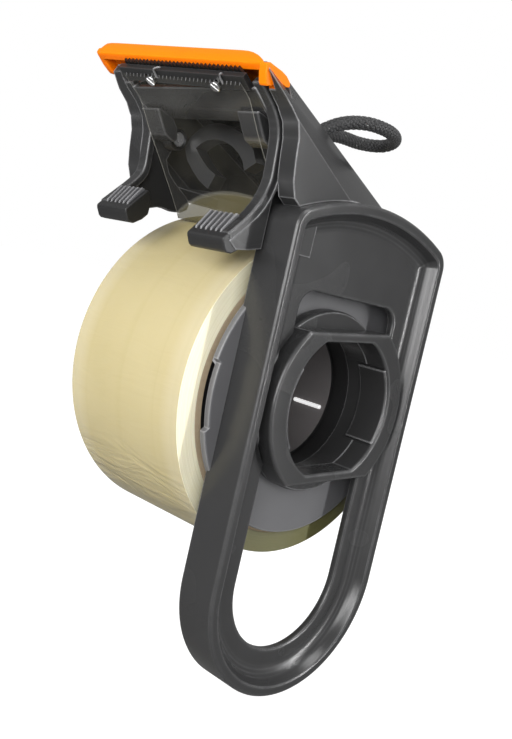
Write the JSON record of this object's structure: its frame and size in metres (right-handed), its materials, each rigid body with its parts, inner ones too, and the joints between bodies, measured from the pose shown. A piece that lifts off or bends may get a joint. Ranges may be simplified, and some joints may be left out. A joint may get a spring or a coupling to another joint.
{
  "type": "tape dispenser",
  "caption": "Hand-held packing tape dispenser: a tape roll on a finger-hole hub, a long open loop handle, and a hooded head with a rocking serrated cutter.",
  "frame": {"origin": "on the hub axis, at the middle of the tape's width", "axes": "+X along the hub axis towards the side frame and its finger hole; -Y towards the side the tape is pulled out of; +Z along the loop handle towards the cutting head"},
  "size_m": [0.0735, 0.0981, 0.1692],
  "materials": {
    "grey_plastic": "satin dark grey moulded plastic with a fine grain",
    "dark_plastic": "satin near-black moulded plastic",
    "orange_plastic": "semi-gloss orange moulded plastic",
    "clear_tape": "many layers of glossy clear tape on yellowish adhesive",
    "tape_film": "one layer of clear film with adhesive",
    "card": "light brown spiral-wound card",
    "steel": "bright zinc-plated or stainless steel",
    "braid": "black braided polyester cord with light flecks"
  },
  "bodies": {
    "frame": {"side_frame": "grey_plastic", "grip_collar": "grey_plastic", "finger_grips": "dark_plastic", "hub_sleeve": "grey_plastic", "hub_flange": "grey_plastic", "hub_drum": "dark_plastic", "core_clips": "dark_plastic", "brake_pin": "steel", "hub_cap": "dark_plastic", "hub_screws": "steel", "head_shell": "grey_plastic", "blade_guard": "orange_plastic", "head_screws": "steel", "yoke_pins": "steel", "return_springs": "steel", "guide_bow": "dark_plastic", "cord_anchor": "steel", "lanyard_cord": "braid"},
    "roll": {"tape_core": "card", "tape_roll": "clear_tape"},
    "yoke": {"blade_yoke": "grey_plastic", "blade_clamp": "grey_plastic", "cutter_blade": "steel", "blade_screws": "steel", "left_thumb_pad": "dark_plastic", "right_thumb_pad": "dark_plastic", "tape_tabs": "grey_plastic", "tape_strip": "tape_film"}
  },
  "joints": [
    {"name": "roll_spin", "type": "hinge", "parent": "frame", "child": "roll", "pos_m": [0, 0, 0], "axis": [1, 0, 0], "continuous": true},
    {"name": "yoke_rock", "type": "hinge", "parent": "frame", "child": "yoke", "pos_m": [0, -0.028, 0.064], "axis": [1, 0, 0], "range_deg": [0, 5], "stiffness_Nm_per_rad": 0.3, "springref_deg": -2.86}
  ]
}
